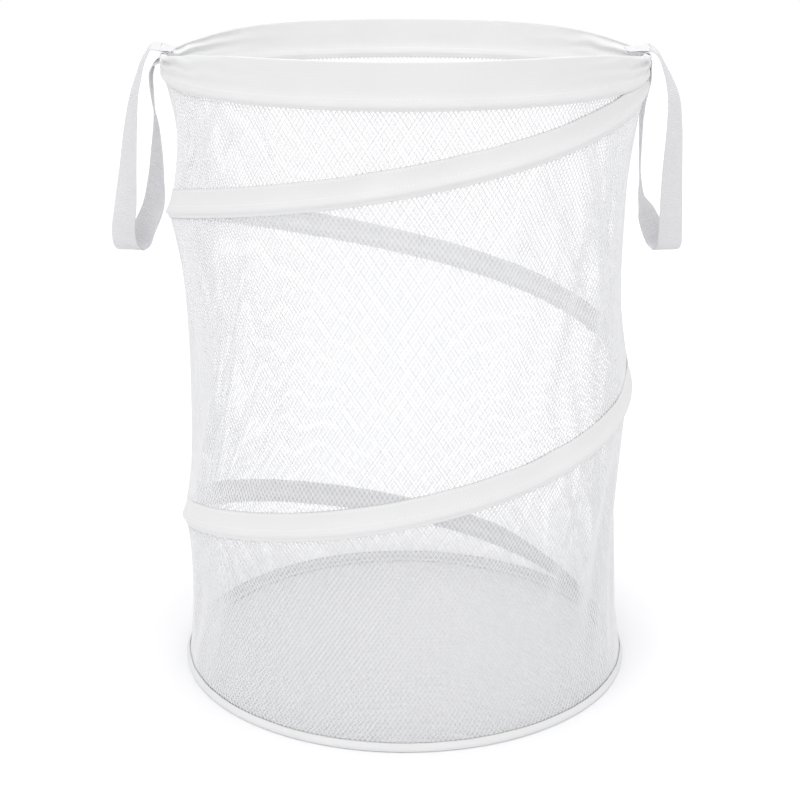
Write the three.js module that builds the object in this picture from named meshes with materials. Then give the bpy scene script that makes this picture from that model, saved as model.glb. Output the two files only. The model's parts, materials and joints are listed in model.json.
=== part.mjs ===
// A pop-up laundry hamper: a tube and a floor of net, held open by a coiled spring wire that
// is sewn into a fabric channel, with a webbing loop at each side of the mouth.
// Millimetres, +Z up, origin at the middle of the underside, loops along X, front towards -Y.
import * as THREE from "three";

// Outside size of the standing hamper.
const hamper = { diameter: 457, height: 635 };

// Gap left between pieces that are sewn together, slid in or hinged.
const clearance = 0.3;

// Every ring and every turn of the spiral is drawn with this many flat sides.
const sidesPerTurn = 48;

// Spring steel wire: a ring at the mouth, a ring at the floor and the spiral between them.
const wire = { diameter: 2.5, sides: 6 };

// Crimped steel ferrules close the two rings, vinyl caps cover the ends of the spiral.
const fitting = { wall: 0.6, ferruleLength: 16, capLength: 9, sides: 12 };

// Taffeta channels that hold the wire: cloth thickness, and half the thickness of the
// sewn-flat part, of its shoulder next to the wire, and of the slot that takes the net.
const cloth = { thickness: 0.6, flatHalf: 1, shoulderHalf: 1.4, shoulderShare: 0.2, slotHalf: 1.3 };

// Band round the mouth: how far it stands above its wire and hangs below it. At the two
// corners, where the loops pull, its top edge dips and its wire reaches up and outwards.
const band = { above: 37, below: 4.5, cornerDip: 15, cornerLift: 5, cornerReach: 6 };
const corner = { dipSharpness: 6, liftSharpness: 10, fadeHeight: 45 };

// Spiral channel: the same two widths, and the turn over which it narrows to its lower end.
const sleeve = { above: 21, below: 6, taperAngle: 30 };

// Binding round the floor.
const binding = { height: 8.5, flatHalf: 2.45, shoulderHalf: 2.8 };

// Spiral route, in degrees of travel, clockwise seen from above, from the right-hand corner.
// The shares are hand-chosen: travel of the whole route, and height left above its lower end.
const spiral = { startAngle: 7.5, endAngle: 690 };
const spiralTravelShares = [0, 0.035, 0.123, 0.254, 0.386, 0.517, 0.649, 0.781, 0.912, 1];
const spiralHeightShares = [1, 0.962, 0.881, 0.777, 0.627, 0.493, 0.368, 0.238, 0.079, 0];

// Net wall, drawn coarser than the real mesh: sheet thickness, openings round a turn and from
// wire to wire, upright strands between them, level strands as a share of an opening's step,
// and the least height of net that has openings. It draws in between two wires by a share of
// the distance between them.
const net = { thickness: 0.8, openingsRound: 16, openingsHigh: 3, strand: 8, strandShare: 0.1, openFrom: 45 };
const netSagShare = 0.043;

// Floor net, drawn coarser than the real mesh: cell, strand and solid hem.
const floorNet = { cellWidth: 33, cellLength: 49, strand: 4, hem: 7 };

// Seam allowance of the net wall, standing inwards as a narrow fin near the right-hand corner,
// in the middle of the flat side that this angle falls on.
const seam = { angle: 349, width: 7, thickness: 1.2 };

// Loops of webbing: a strap, the stack of webbing that is sewn over the corner of the band,
// and how far the loop hangs down, reaches out and spreads to front and back.
const webbing = { width: 25, thickness: 1.5 };
const anchor = { layerCount: 3, legLength: 9, legGapHalf: 1.9 };
const loop = { drop: 199, reach: 41, spread: 12, endSetIn: 0.7, lowerEndDrop: 12.5, stepCount: 3 };

// Routes of the two loops as shares: outwards of reach, forwards of spread, downwards of
// drop, and twist of a quarter turn. They run from the upper sewn end round to the lower one.
const leftLoopShares = [
  [0.195, 0, 0, 0], [0.39, 0.17, 0.06, 0.11], [0.51, 0.5, 0.14, 0.2], [0.61, 0.75, 0.22, 0.28],
  [0.717, 0.92, 0.37, 0.4], [0.822, 1, 0.58, 0.54], [0.915, 1, 0.76, 0.73], [1, 0.92, 0.9, 0.83],
  [0.963, 0.75, 0.97, 0.88], [0.854, 0, 1, 0.9], [0.73, -0.75, 0.98, 0.88], [0.61, -0.92, 0.92, 0.83],
  [0.34, -1, 0.79, 0.72], [0.244, -0.92, 0.65, 0.51], [0.2, -0.83, 0.51, 0.37], [0.183, -0.67, 0.37, 0.2],
  [0.224, -0.5, 0.27, 0.06], [0.237, -0.17, 0.14, 0], [0.146, 0, 0.08, 0],
];
const rightLoopShares = [
  [0.17, 0, 0.03, 0.03], [0.34, 0.25, 0.095, 0.13], [0.554, 0.67, 0.226, 0.37], [0.6, 0.92, 0.357, 0.48],
  [0.59, 1, 0.62, 0.67], [0.605, 0.92, 0.894, 0.84], [0.6, 0.75, 0.97, 0.89], [0.537, 0, 1, 0.9],
  [0.44, -0.75, 0.975, 0.89], [0.29, -0.92, 0.92, 0.8], [0.088, -0.92, 0.824, 0.56],
  [-0.037, -0.83, 0.76, 0.24], [-0.112, -0.58, 0.62, 0.09], [-0.137, -0.33, 0.43, 0.03],
  [-0.139, -0.17, 0.327, 0], [-0.11, -0.08, 0.27, 0], [0, 0, 0.15, 0], [0, 0, 0.1, 0],
];

// Sizes worked out from those above.
const wireRadius = wire.diameter / 2;
const fittingBore = wireRadius + clearance;
const fittingRadius = fittingBore + fitting.wall;
const pocketHalf = fittingRadius + clearance;
const ridgeHalf = pocketHalf + cloth.thickness;
const leastReach = ridgeHalf + cloth.thickness;
const ringRadius = hamper.diameter / 2 - ridgeHalf;
const turnStep = 360 / sidesPerTurn;
const floorWireZ = leastReach;
const seamTravel = (Math.floor(seam.angle / turnStep) + 0.5) * turnStep;

// Shape of the mouth: a share that is 1 at the two corners and falls to 0 between them.
function cornerShare(travel, sharpness) {
  return Math.abs(Math.cos(THREE.MathUtils.degToRad(travel))) ** sharpness;
}

function mouthWire(travel) {
  const share = cornerShare(travel, corner.liftSharpness);
  return {
    radius: ringRadius + band.cornerReach * share,
    z: hamper.height - band.above + band.cornerLift * share,
  };
}

function bandTop(travel) {
  return hamper.height - band.cornerDip * cornerShare(travel, corner.dipSharpness);
}

// The spiral's centre line. It starts just under the band and ends just above the binding.
const spiralTop = mouthWire(spiral.startAngle).z - band.below - clearance - leastReach;
const spiralBottom = binding.height + clearance + pocketHalf + clearance;
const spiralShare = new THREE.CubicInterpolant(spiralTravelShares, spiralHeightShares, 1);

function spiralWire(travel) {
  const along = (travel - spiral.startAngle) / (spiral.endAngle - spiral.startAngle);
  const share = spiralShare.evaluate(along)[0];
  return {
    radius: travel < 180 ? mouthWire(travel).radius : ringRadius,
    z: spiralBottom + (spiralTop - spiralBottom) * share,
  };
}

// The wires above and below the net at a given travel along its own spiral strip.
function wireAbove(travel) {
  const turnBefore = travel - 360;
  return turnBefore < spiral.startAngle ? mouthWire(travel) : spiralWire(turnBefore);
}

function wireBelow(travel) {
  return travel > spiral.endAngle ? { radius: ringRadius, z: floorWireZ } : spiralWire(travel);
}

// Radius of the middle of the net at height z: drawn in between its two wires, and still
// pulled outwards close to a corner of the mouth.
function netRadius(travel, z) {
  const above = wireAbove(travel);
  const below = wireBelow(travel);
  const gap = above.z - below.z;
  const share = (z - below.z) / gap;
  const pullAbove = (above.radius - ringRadius) * Math.exp((z - above.z) / corner.fadeHeight);
  const pullBelow = (below.radius - ringRadius) * Math.exp((below.z - z) / corner.fadeHeight);
  const sag = 4 * netSagShare * gap * share * (1 - share);
  return ringRadius + Math.max(pullAbove, pullBelow) - sag;
}

// Outline of a wire channel, as [radius, z] points: a ridge round the wire's pocket, with a
// flat part on the side that `up` points to and an open slot with two lips on the other. Its
// inner side is the run of points from the edge of the flat part to the inner lip.
const [innerEdge, innerLip] = [5, 9];
function channelSection({ radius, z, up, reach, flatRadius, flatHalf, shoulderHalf, lip, lipRadius }) {
  const lipHalf = cloth.slotHalf + cloth.thickness;
  const shoulder = ridgeHalf + (reach - ridgeHalf) * cloth.shoulderShare;
  const shoulderRadius = radius + (flatRadius - radius) * cloth.shoulderShare;
  return [
    [lipRadius + lipHalf, z - up * lip],
    [radius + ridgeHalf, z],
    [radius + ridgeHalf, z + up * ridgeHalf],
    [shoulderRadius + shoulderHalf, z + up * shoulder],
    [flatRadius + flatHalf, z + up * reach],
    [flatRadius - flatHalf, z + up * reach],
    [shoulderRadius - shoulderHalf, z + up * shoulder],
    [radius - ridgeHalf, z + up * ridgeHalf],
    [radius - ridgeHalf, z],
    [lipRadius - lipHalf, z - up * lip],
    [lipRadius - cloth.slotHalf, z - up * lip],
    [radius - pocketHalf, z],
    [radius - pocketHalf, z + up * pocketHalf],
    [radius + pocketHalf, z + up * pocketHalf],
    [radius + pocketHalf, z],
    [lipRadius + cloth.slotHalf, z - up * lip],
  ];
}

function bandSection(travel) {
  const { radius, z } = mouthWire(travel);
  return channelSection({
    radius,
    z,
    up: 1,
    reach: bandTop(travel) - z,
    flatRadius: radius,
    flatHalf: cloth.flatHalf,
    shoulderHalf: cloth.shoulderHalf,
    lip: band.below,
    lipRadius: netRadius(travel < spiral.startAngle ? travel + 360 : travel, z - band.below),
  });
}

// Top edge of the spiral channel: full width, but never into the band or past the taper.
function sleeveReach(travel) {
  const { z } = spiralWire(travel);
  const underBand = mouthWire(travel).z - band.below - clearance - z;
  const left = (spiral.endAngle - travel) / sleeve.taperAngle;
  const tapered = leastReach + (sleeve.above - leastReach) * Math.min(1, left);
  return travel < 360 ? Math.min(tapered, underBand) : tapered;
}

function sleeveSection(travel) {
  const { radius, z } = spiralWire(travel);
  const reach = sleeveReach(travel);
  const lip = Math.min(sleeve.below, z - binding.height - clearance);
  return channelSection({
    radius,
    z,
    up: 1,
    reach,
    flatRadius: netRadius(travel, z + reach),
    flatHalf: cloth.flatHalf,
    shoulderHalf: cloth.shoulderHalf,
    lip,
    lipRadius: netRadius(travel + 360, z - lip),
  });
}

// The binding is the same channel upside down: flat underneath, with its slot on top.
function bindingSection(travel) {
  const lastTurn = travel + (travel > spiral.endAngle - 360 ? 360 : 720);
  const lip = binding.height - floorWireZ;
  return channelSection({
    radius: ringRadius,
    z: floorWireZ,
    up: -1,
    reach: floorWireZ,
    flatRadius: ringRadius,
    flatHalf: binding.flatHalf,
    shoulderHalf: binding.shoulderHalf,
    lip,
    lipRadius: netRadius(lastTurn, binding.height),
  });
}

// The net wall is one strip that winds down between the turns of the spiral. Its upper edge
// lies in the slot under the wire above, its lower edge on the channel of the wire below.
function netEdges(travel) {
  const below = wireBelow(travel);
  const rise = travel > spiral.endAngle ? pocketHalf : sleeveReach(travel) + clearance;
  return { top: wireAbove(travel).z - pocketHalf, bottom: below.z + rise };
}

function hasOpenings(travel) {
  const { top, bottom } = netEdges(travel);
  return top - bottom >= net.openFrom;
}

// Rows of points up the net: the edges of its level strands, or even steps where it is too
// low for openings.
const strandShares = Array.from({ length: net.openingsHigh }, (_, opening) => [
  (opening + net.strandShare / 2) / net.openingsHigh,
  (opening + 1 - net.strandShare / 2) / net.openingsHigh,
]);
const openShares = [0, ...strandShares.flat(), 1];
const closedShares = openShares.map((_, row) => row / (openShares.length - 1));

function netFace(travel, offset) {
  const { top, bottom } = netEdges(travel);
  const shares = hasOpenings(travel) ? openShares : closedShares;
  return shares.map((share) => {
    const z = bottom + (top - bottom) * share;
    return [netRadius(travel, z) + offset, z];
  });
}

function wireSection({ radius, z }) {
  return Array.from({ length: wire.sides }, (_, side) => {
    const angle = (2 * Math.PI * side) / wire.sides;
    return [radius + wireRadius * Math.cos(angle), z + wireRadius * Math.sin(angle)];
  });
}

// A section point set at its place round the hamper. Travel runs clockwise from +X.
function placed([radius, z], travel) {
  const angle = -THREE.MathUtils.degToRad(travel);
  return new THREE.Vector3(radius * Math.cos(angle), radius * Math.sin(angle), z);
}

// The section at any travel, on the flat side between the two corners next to it. A travel
// this close to a corner, as a share of a side, counts as that corner.
const cornerShareTolerance = 1e-9;
function ringAt(travel, sectionAt) {
  const index = travel / turnStep;
  const before = Math.floor(index + cornerShareTolerance);
  const share = index - before;
  const first = sectionAt(before * turnStep).map((point) => placed(point, before * turnStep));
  if (share < cornerShareTolerance) return first;
  const second = sectionAt((before + 1) * turnStep).map((point) => placed(point, (before + 1) * turnStep));
  return first.map((point, i) => point.lerp(second[i], share));
}

// Skin over a row of rings of points, closed on itself or with flat ends.
function loft(rings, closed) {
  const count = rings[0].length;
  const faces = [];
  const spans = closed ? rings.length : rings.length - 1;
  for (let ring = 0; ring < spans; ring++) {
    for (let side = 0; side < count; side++) {
      const here = ring * count;
      const next = ((ring + 1) % rings.length) * count;
      const after = (side + 1) % count;
      faces.push(here + side, here + after, next + after, here + side, next + after, next + side);
    }
  }
  if (!closed) faces.push(...endFaces(rings[0], 0, false), ...endFaces(rings.at(-1), spans * count, true));
  return solid(rings.flat(), faces);
}

function solid(points, faces) {
  const geometry = new THREE.BufferGeometry();
  const numbers = points.flatMap((p) => p.toArray());
  geometry.setAttribute("position", new THREE.Float32BufferAttribute(numbers, 3));
  geometry.setIndex(signedVolume(points, faces) < 0 ? faces.reverse() : faces);
  geometry.computeVertexNormals();
  return geometry;
}

// Triangles that close one end of a loft, drawn in the plane of that end's outline.
function endFaces(ring, start, last) {
  const middle = ring.reduce((sum, p) => sum.add(p), new THREE.Vector3()).divideScalar(ring.length);
  const normal = ring.reduce((sum, p, i) => {
    const a = p.clone().sub(middle);
    return sum.add(a.cross(ring[(i + 1) % ring.length].clone().sub(middle)));
  }, new THREE.Vector3()).normalize();
  const across = ring[1].clone().sub(ring[0]).projectOnPlane(normal).normalize();
  const along = normal.clone().cross(across);
  const arms = ring.map((p) => p.clone().sub(middle));
  const flat = arms.map((arm) => new THREE.Vector2(arm.dot(across), arm.dot(along)));
  return THREE.ShapeUtils.triangulateShape(flat, []).flatMap((face) => {
    const corners = face.map((i) => start + i);
    return last ? corners : corners.reverse();
  });
}

function signedVolume(points, faces) {
  let volume = 0;
  for (let i = 0; i < faces.length; i += 3) {
    const [a, b, c] = faces.slice(i, i + 3).map((index) => points[index]);
    volume += a.dot(b.clone().cross(c)) / 6;
  }
  return volume;
}

// Travels at every corner of the polygon from one travel to another, both ends included.
function travels(from, to) {
  const steps = [];
  for (let i = Math.ceil(from / turnStep); i * turnStep < to; i++) steps.push(i * turnStep);
  return [...new Set([from, ...steps, to])];
}

function ringPiece(sectionAt) {
  const around = travels(0, 360).slice(0, -1);
  return loft(around.map((travel) => ringAt(travel, sectionAt)), true);
}

function openPiece(sectionAt, from, to) {
  return loft(travels(from, to).map((travel) => ringAt(travel, sectionAt)), false);
}

// Travel that a length along the wire takes.
function travelOf(length) {
  return THREE.MathUtils.radToDeg(length / ringRadius);
}

// The net wall. Its columns of points are the edges of the upright strands, one of which runs
// along the seam, and the corners of the polygon between them.
function netPiece() {
  const [from, to] = [spiral.startAngle, spiral.endAngle + 360];
  const step = 360 / net.openingsRound;
  const half = travelOf(net.strand / 2);
  const strands = [seamTravel, seamTravel + 360];
  for (let i = Math.ceil(from / step); i * step < to; i++) strands.push(i * step);
  const inStrand = (travel) => strands.some((middle) => Math.abs(travel - middle) < half);
  const between = travels(from, to).filter((travel) => !inStrand(travel));
  const edges = strands.flatMap((middle) => [middle - half, middle + half]);
  const columns = [...between, ...edges].sort((a, b) => a - b);
  const isOpen = (column, row) => {
    const middle = (columns[column] + columns[column + 1]) / 2;
    const sides = [Math.floor(middle / turnStep), Math.ceil(middle / turnStep)];
    return row % 2 === 1 && !inStrand(middle) && sides.every((side) => hasOpenings(side * turnStep));
  };
  const layer = (offset) => columns.flatMap((travel) => ringAt(travel, (t) => netFace(t, offset)));
  return sheet(layer(net.thickness / 2), layer(-net.thickness / 2), openShares.length, isOpen);
}

// The four sides of a cell of a sheet, from corner to corner, and the cell beyond each.
const cellSides = [
  { from: [0, 0], to: [1, 0], beyond: [0, -1] },
  { from: [1, 0], to: [1, 1], beyond: [1, 0] },
  { from: [1, 1], to: [0, 1], beyond: [0, 1] },
  { from: [0, 1], to: [0, 0], beyond: [-1, 0] },
];

// Solid sheet between two layers of points, each a row of columns, with openings through it.
function sheet(outer, inner, rowCount, isOpen) {
  const lastColumn = outer.length / rowCount - 1;
  const lastRow = rowCount - 1;
  const inside = (column, row) => column >= 0 && column < lastColumn && row >= 0 && row < lastRow;
  const isSolid = (column, row) => inside(column, row) && !isOpen(column, row);
  const faces = [];
  const addQuad = (a, b, c, d) => faces.push(a, b, c, a, c, d);
  for (let column = 0; column < lastColumn; column++) {
    for (let row = 0; row < lastRow; row++) {
      if (!isSolid(column, row)) continue;
      const corner = ([right, up]) => (column + right) * rowCount + row + up;
      const corners = cellSides.map((side) => corner(side.from));
      addQuad(...corners);
      addQuad(...corners.map((index) => index + outer.length).reverse());
      for (const side of cellSides) {
        if (isSolid(column + side.beyond[0], row + side.beyond[1])) continue;
        const [a, b] = [corner(side.from), corner(side.to)];
        addQuad(b, a, a + outer.length, b + outer.length);
      }
    }
  }
  return solid([...outer, ...inner], faces);
}

// Ring wires are cut at the middle of the flat side at the back, where a ferrule joins them.
const jointTravel = 270 - turnStep / 2;
function ringWire(wireAt) {
  const halfCut = travelOf(clearance / 2);
  const section = (travel) => wireSection(wireAt(travel));
  return openPiece(section, jointTravel + halfCut, jointTravel + 360 - halfCut);
}

function spiralPiece() {
  const setIn = travelOf(clearance + fitting.wall + clearance);
  const section = (travel) => wireSection(spiralWire(travel));
  const steps = travels(spiral.startAngle + setIn, spiral.endAngle - setIn);
  const centre = steps.map((travel) => ringAt(travel, (t) => [[spiralWire(t).radius, spiralWire(t).z]])[0]);
  console.log("least gap of the spiral wire to itself:", leastGap(centre).toFixed(1), "mm");
  return loft(steps.map((travel) => ringAt(travel, section)), false);
}

// Least distance between points of the wire half a turn apart or more, less its diameter.
function leastGap(points) {
  let least = Infinity;
  for (let i = 0; i < points.length; i++) {
    for (let j = i + sidesPerTurn / 2; j < points.length; j++) {
      least = Math.min(least, points[i].distanceTo(points[j]));
    }
  }
  return least - wire.diameter;
}

// Turned fittings: profiles run along +Y, which is then laid along the wire.
function turned(profile, position, direction) {
  const geometry = new THREE.LatheGeometry(profile.map(([r, y]) => new THREE.Vector2(r, y)), fitting.sides);
  const turn = new THREE.Quaternion().setFromUnitVectors(new THREE.Vector3(0, 1, 0), direction);
  return geometry.applyQuaternion(turn).translate(...position.toArray());
}

function wirePoint(travel, wireAt) {
  return ringAt(travel, (t) => [[wireAt(t).radius, wireAt(t).z]])[0];
}

function ferrule(wireAt) {
  const half = fitting.ferruleLength / 2;
  const ahead = wirePoint(jointTravel + turnStep / 2, wireAt);
  const behind = wirePoint(jointTravel - turnStep / 2, wireAt);
  const profile = [
    [fittingBore, -half],
    [fittingRadius, -half],
    [fittingRadius, half],
    [fittingBore, half],
    [fittingBore, -half],
  ];
  return turned(profile, wirePoint(jointTravel, wireAt), ahead.sub(behind).normalize());
}

function endCap(endAngle, inwards) {
  const end = wirePoint(endAngle, spiralWire);
  const direction = wirePoint(endAngle + inwards * turnStep, spiralWire).sub(end).normalize();
  const profile = [
    [0, 0],
    [fittingRadius, 0],
    [fittingRadius, fitting.capLength],
    [fittingBore, fitting.capLength],
    [fittingBore, fitting.wall],
    [0, fitting.wall],
  ];
  return turned(profile, end.addScaledVector(direction, clearance), direction);
}

// Floor: a flat disc of net with diamond gaps, a crossing of strands at its middle.
function floorPiece() {
  const radius = ringRadius - ridgeHalf - clearance;
  const rim = travels(0, 360).slice(0, -1).map((travel) => placed([radius, 0], -travel));
  const shape = new THREE.Shape(rim.map((p) => new THREE.Vector2(p.x, p.y)));
  const [a, b] = [floorNet.cellWidth / 2, floorNet.cellLength / 2];
  const inset = (floorNet.strand / 2) * Math.hypot(a, b);
  const [halfWidth, halfLength] = [a - inset / b, b - inset / a];
  const inside = radius * Math.cos(Math.PI / sidesPerTurn) - floorNet.hem;
  const count = Math.ceil(radius / a);
  for (let i = -count; i <= count; i++) {
    for (let j = -count; j <= count; j++) {
      if ((i + j) % 2 === 0) continue;
      const [x, y] = [i * a, j * b];
      const reach = Math.max(Math.hypot(Math.abs(x) + halfWidth, y), Math.hypot(x, Math.abs(y) + halfLength));
      if (reach > inside) continue;
      const gap = [[halfWidth, 0], [0, halfLength], [-halfWidth, 0], [0, -halfLength]];
      shape.holes.push(new THREE.Path(gap.map(([dx, dy]) => new THREE.Vector2(x + dx, y + dy))));
    }
  }
  console.log("gaps in the floor net:", shape.holes.length);
  return new THREE.ExtrudeGeometry(shape, { depth: net.thickness, bevelEnabled: false });
}

// Seam fin: its outer edge follows the inside of the net and of the spiral channel, from the
// binding up to the band.
function seamPiece() {
  const inside = (travel, sectionAt) =>
    ringAt(travel, sectionAt).map((p) => new THREE.Vector2(Math.hypot(p.x, p.y) - clearance, p.z));
  const netRows = (travel) => inside(travel, (t) => netFace(t, -net.thickness / 2));
  const innerSide = (sectionAt) => inside(seamTravel, sectionAt).slice(innerEdge, innerLip + 1);
  const channel = innerSide(sleeveSection).reverse();
  const bandLip = innerSide(bandSection).at(-1);
  const from = binding.height + clearance;
  const to = bandLip.y - clearance;
  const lower = netRows(seamTravel + 360).filter((p) => p.y > from && p.y < channel[0].y - clearance);
  const upper = netRows(seamTravel).filter((p) => p.y > channel.at(-1).y + clearance && p.y < to);
  const edge = [...lower, ...channel, ...upper];
  const foot = new THREE.Vector2(lower[0].x, from);
  const head = new THREE.Vector2(Math.min(upper.at(-1).x, bandLip.x), to);
  const outline = [foot, ...edge, head];
  const back = outline.map((p) => new THREE.Vector2(p.x - seam.width, p.y)).reverse();
  const geometry = new THREE.ExtrudeGeometry(new THREE.Shape([...outline, ...back]), {
    depth: seam.thickness,
    bevelEnabled: false,
  });
  geometry.translate(0, 0, -seam.thickness / 2);
  geometry.rotateX(Math.PI / 2);
  return geometry.rotateZ(-THREE.MathUtils.degToRad(seamTravel));
}

// Webbing sewn over a corner of the band: a leg inside, a leg outside and a stack on top.
function anchorTop() {
  return bandTop(0) + clearance + anchor.layerCount * webbing.thickness;
}

function anchorSection(travel) {
  const { radius } = mouthWire(travel);
  const top = bandTop(travel) + clearance;
  const foot = bandTop(travel) - anchor.legLength;
  const outer = anchor.legGapHalf + webbing.thickness;
  return [
    [radius + outer, foot],
    [radius + outer, anchorTop()],
    [radius - outer, anchorTop()],
    [radius - outer, foot],
    [radius - anchor.legGapHalf, foot],
    [radius - anchor.legGapHalf, top],
    [radius + anchor.legGapHalf, top],
    [radius + anchor.legGapHalf, foot],
  ];
}

function anchorPiece(travel) {
  const half = travelOf(webbing.width / 2);
  return openPiece(anchorSection, travel - half, travel + half);
}

// The line that each loop swings on, just outside and above its anchor.
const outermost = Math.max(anchor.legGapHalf + webbing.thickness, ridgeHalf);
const hinge = {
  x: ringRadius + band.cornerReach + outermost + clearance + webbing.thickness / 2,
  z: anchorTop() + clearance + webbing.thickness / 2,
};

// One loop of webbing: a flat strap led through its route with its twist. Its lower end comes
// back to the anchor level, or hangs straight down past it.
function loopPiece(shares, outwards, lowerEndSetIn) {
  const upperEnd = [-loop.endSetIn, 0, 0, 0];
  const lowerEnd = [-lowerEndSetIn, 0, loop.lowerEndDrop, 0];
  const rows = shares.map(([out, front, down, twist]) => [
    out * loop.reach,
    front * loop.spread,
    down * loop.drop,
    twist,
  ]);
  const all = [upperEnd, ...rows, lowerEnd];
  const route = new THREE.CatmullRomCurve3(
    all.map(([out, front, down]) => new THREE.Vector3(outwards * (hinge.x + out), -front, hinge.z - down)),
  );
  const twists = new THREE.CatmullRomCurve3(all.map((row) => new THREE.Vector3(row[3], 0, 0)));
  const steps = (all.length - 1) * loop.stepCount;
  const rings = Array.from({ length: steps + 1 }, (_, step) => {
    const angle = (twists.getPoint(step / steps).x * Math.PI) / 2;
    const across = new THREE.Vector3(outwards * Math.sin(angle), Math.cos(angle), 0);
    const along = route.getTangent(step / steps);
    across.projectOnPlane(along).setLength(webbing.width / 2);
    const face = along.clone().cross(across).setLength(webbing.thickness / 2);
    const corners = [[1, 1], [-1, 1], [-1, -1], [1, -1]];
    return corners.map(([w, t]) =>
      route.getPoint(step / steps).addScaledVector(across, w).addScaledVector(face, t),
    );
  });
  return loft(rings, false);
}

// Finishes.
const taffeta = { color: 0xebebec, roughness: 0.7, metalness: 0 };
const polyesterNet = { color: 0xe6e6ea, roughness: 0.75, metalness: 0 };
const polyesterWebbing = { color: 0xe9e9ea, roughness: 0.8, metalness: 0 };
const springSteel = { color: 0x8d9096, roughness: 0.35, metalness: 1 };
const zincSteel = { color: 0xb4b7ba, roughness: 0.4, metalness: 1 };
const vinyl = { color: 0xdcdcdc, roughness: 0.5, metalness: 0 };

function piece(name, geometry, finish) {
  const mesh = new THREE.Mesh(geometry, new THREE.MeshStandardMaterial(finish));
  mesh.name = name;
  return mesh;
}

const floorWire = () => ({ radius: ringRadius, z: floorWireZ });

// Floor end: the net floor in its bound ring.
const floorEnd = new THREE.Group();
floorEnd.add(
  piece("base_net", floorPiece(), polyesterNet),
  piece("bottom_binding", ringPiece(bindingSection), taffeta),
  piece("bottom_hoop_wire", ringWire(floorWire), springSteel),
  piece("bottom_hoop_ferrule", ferrule(floorWire), zincSteel),
  piece("spiral_end_cap_bottom", endCap(spiral.endAngle, -1), vinyl),
);

// Body that folds flat: the net wall, and the spiral spring in its channel.
const wall = new THREE.Group();
wall.add(
  piece("wall_net", netPiece(), polyesterNet),
  piece("side_seam", seamPiece(), polyesterNet),
  piece("spiral_spring_wire", spiralPiece(), springSteel),
  piece("spiral_sleeve", openPiece(sleeveSection, spiral.startAngle, spiral.endAngle), taffeta),
);

// Mouth: the band on its ring, with the sewn corners and the two loops.
const mouth = new THREE.Group();
mouth.add(
  piece("top_band", ringPiece(bandSection), taffeta),
  piece("top_hoop_wire", ringWire(mouthWire), springSteel),
  piece("top_hoop_ferrule", ferrule(mouthWire), zincSteel),
  piece("spiral_end_cap_top", endCap(spiral.startAngle, 1), vinyl),
  piece("handle_anchor_right", anchorPiece(360), polyesterWebbing),
  piece("handle_anchor_left", anchorPiece(180), polyesterWebbing),
  piece("handle_strap_right", loopPiece(rightLoopShares, 1, 0), polyesterWebbing),
  piece("handle_strap_left", loopPiece(leftLoopShares, -1, loop.endSetIn), polyesterWebbing),
);

console.log("loops swing on lines at x =", hinge.x.toFixed(2), "and z =", hinge.z.toFixed(2));

const root = new THREE.Group();
root.name = "pop_up_hamper";
root.add(floorEnd, wall, mouth);
export default root;
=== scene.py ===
import json
import math

import bmesh
import bpy
from mathutils import Matrix, Vector, noise


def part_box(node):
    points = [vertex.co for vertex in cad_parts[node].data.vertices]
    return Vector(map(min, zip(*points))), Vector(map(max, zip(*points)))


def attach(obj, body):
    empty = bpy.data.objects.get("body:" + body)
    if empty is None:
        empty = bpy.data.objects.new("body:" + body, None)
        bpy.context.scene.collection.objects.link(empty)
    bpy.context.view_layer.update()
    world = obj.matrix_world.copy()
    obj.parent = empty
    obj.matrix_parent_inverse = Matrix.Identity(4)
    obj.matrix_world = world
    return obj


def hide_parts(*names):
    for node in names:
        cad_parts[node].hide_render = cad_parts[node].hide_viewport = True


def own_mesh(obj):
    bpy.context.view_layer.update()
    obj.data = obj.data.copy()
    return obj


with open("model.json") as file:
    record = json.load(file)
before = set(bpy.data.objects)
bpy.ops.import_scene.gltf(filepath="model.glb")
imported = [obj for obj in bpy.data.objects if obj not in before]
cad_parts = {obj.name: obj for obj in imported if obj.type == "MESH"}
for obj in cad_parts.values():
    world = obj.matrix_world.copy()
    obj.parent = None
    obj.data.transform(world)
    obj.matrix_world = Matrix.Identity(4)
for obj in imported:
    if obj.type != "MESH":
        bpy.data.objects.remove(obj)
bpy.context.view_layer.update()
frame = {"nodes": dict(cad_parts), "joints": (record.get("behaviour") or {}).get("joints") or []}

# A white pop-up laundry hamper: a tube and a floor of knitted net, held open by a coiled
# spring wire in taffeta channels, with a webbing loop at each side. Travel is an angle in
# degrees, clockwise seen from above, from the right-hand corner of the mouth (+X).

MM = 0.001
FULL_TURN = 360.0

# Sizes in metres that the CAD part also has. The spiral's start and end, the taper and the
# seam's place are degrees of travel.
WIRE_RADIUS = 1.25 * MM
RING_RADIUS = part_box("bottom_hoop_wire")[1].x - WIRE_RADIUS
FLOOR_WIRE_Z = sum(corner.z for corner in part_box("bottom_hoop_wire")) / 2
HAMPER_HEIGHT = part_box("top_band")[1].z
SEWN_GAP = 0.3 * MM
BAND_ABOVE = 37 * MM
BAND_BELOW = 4.5 * MM
CORNER_DIP = 15 * MM
CORNER_LIFT = 5 * MM
CORNER_REACH = 6 * MM
CORNER_FADE = 45 * MM
DIP_SHARPNESS = 6
LIFT_SHARPNESS = 10
LEAST_REACH = 3.65 * MM
CHANNEL_ABOVE = 21 * MM
CHANNEL_BELOW = 6 * MM
CHANNEL_TAPER = 30
BINDING_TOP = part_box("bottom_binding")[1].z
SPIRAL_START = 7.5
SPIRAL_END = 690
SPIRAL_BOTTOM = BINDING_TOP + 3.05 * MM
SPIRAL_TRAVEL_SHARES = [0, 0.035, 0.123, 0.254, 0.386, 0.517, 0.649, 0.781, 0.912, 1]
SPIRAL_HEIGHT_SHARES = [1, 0.962, 0.881, 0.777, 0.627, 0.493, 0.368, 0.238, 0.079, 0]
SAG_SHARE = 0.043
SEAM_TRAVEL = 348.75
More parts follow.
